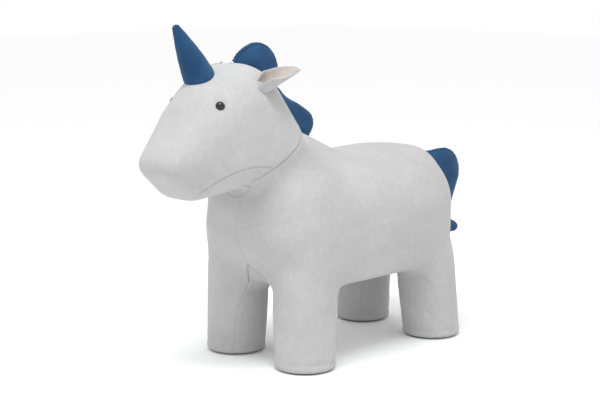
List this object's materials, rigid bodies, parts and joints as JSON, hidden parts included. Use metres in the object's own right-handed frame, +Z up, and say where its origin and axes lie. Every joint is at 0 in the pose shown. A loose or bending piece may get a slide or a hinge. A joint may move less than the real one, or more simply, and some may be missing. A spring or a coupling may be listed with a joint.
{
  "type": "upholstered unicorn seat",
  "caption": "Child's stuffed unicorn seat on four round legs, with a soft horn, ears, mane and tail that flex at their seams.",
  "frame": {"origin": "middle of the floor under the animal, at the bottom centre of its box", "axes": "+Z up, the animal faces -Y, its left side is +X"},
  "size_m": [0.32, 0.8727, 0.6642],
  "materials": {
    "frame_wood": "sawn softwood",
    "plywood": "raw birch plywood",
    "screw_steel": "zinc plated",
    "foam": "open cell foam",
    "white_velour": "short pile velour",
    "blue_velour": "short pile velour",
    "ear_lining": "short pile velour",
    "sole_cloth": "non woven",
    "filling": "polyester fibre",
    "glide_plastic": "moulded",
    "eye_gloss": "polished"
  },
  "bodies": {
    "body": {"seat_deck": "plywood", "side_rail_left": "frame_wood", "side_rail_right": "frame_wood", "front_rail": "frame_wood", "rear_rail": "frame_wood", "leg_post_front_left": "frame_wood", "leg_post_front_right": "frame_wood", "leg_post_rear_left": "frame_wood", "leg_post_rear_right": "frame_wood", "corner_blocks": "frame_wood", "belly_panel": "plywood", "neck_board": "plywood", "neck_brace_left": "plywood", "neck_brace_right": "plywood", "deck_screws": "screw_steel", "brace_screws": "screw_steel", "seat_foam": "foam", "side_foam_left": "foam", "side_foam_right": "foam", "chest_foam": "foam", "rump_foam": "foam", "belly_foam": "foam", "leg_foam_front_left": "foam", "leg_foam_front_right": "foam", "leg_foam_rear_left": "foam", "leg_foam_rear_right": "foam", "head_foam_left": "foam", "head_foam_right": "foam", "head_cover": "white_velour", "jaw_gusset": "white_velour", "body_cover_left": "white_velour", "body_cover_right": "white_velour", "belly_gusset": "white_velour", "sole_front_left": "sole_cloth", "sole_front_right": "sole_cloth", "sole_rear_left": "sole_cloth", "sole_rear_right": "sole_cloth", "glide_front_left": "glide_plastic", "glide_front_right": "glide_plastic", "glide_rear_left": "glide_plastic", "glide_rear_right": "glide_plastic", "glide_screws": "screw_steel", "eye_left": "eye_gloss", "eye_right": "eye_gloss", "eye_washers": "glide_plastic"},
    "horn": {"horn_cover": "blue_velour", "horn_filling": "filling"},
    "ear_left": {"ear_left": "white_velour", "ear_lining_left": "ear_lining"},
    "ear_right": {"ear_right": "white_velour", "ear_lining_right": "ear_lining"},
    "mane_front": {"mane_front_cover": "blue_velour", "mane_front_filling": "filling"},
    "mane_rear": {"mane_rear_cover": "blue_velour", "mane_rear_filling": "filling"},
    "tail": {"tail_cover": "blue_velour", "tail_filling": "filling"}
  },
  "joints": [
    {"name": "horn_bend", "type": "hinge", "parent": "body", "child": "horn", "pos_m": [0, -0.3224, 0.56719], "axis": [1, 0, 0], "range_deg": [-8, 8], "stiffness_Nm_per_rad": 2},
    {"name": "ear_left_flop", "type": "hinge", "parent": "body", "child": "ear_left", "pos_m": [0.09215, -0.23096, 0.55336], "axis": [0.9422, -0.1939, -0.2732], "range_deg": [-20, 20], "stiffness_Nm_per_rad": 0.15},
    {"name": "ear_right_flop", "type": "hinge", "parent": "body", "child": "ear_right", "pos_m": [-0.09215, -0.23096, 0.55336], "axis": [0.9422, 0.1939, 0.2732], "range_deg": [-20, 20], "stiffness_Nm_per_rad": 0.15},
    {"name": "mane_front_flop", "type": "hinge", "parent": "body", "child": "mane_front", "pos_m": [0, -0.19325, 0.58376], "axis": [0, 0.866, -0.5], "range_deg": [-20, 20], "stiffness_Nm_per_rad": 0.4},
    {"name": "mane_rear_flop", "type": "hinge", "parent": "body", "child": "mane_rear", "pos_m": [0, -0.097, 0.4874], "axis": [0, 0.7412, -0.6712], "range_deg": [-20, 20], "stiffness_Nm_per_rad": 0.4},
    {"name": "tail_swing", "type": "hinge", "parent": "body", "child": "tail", "pos_m": [0, 0.307, 0.277], "axis": [0, 0, 1], "range_deg": [-20, 20], "stiffness_Nm_per_rad": 0.5}
  ]
}
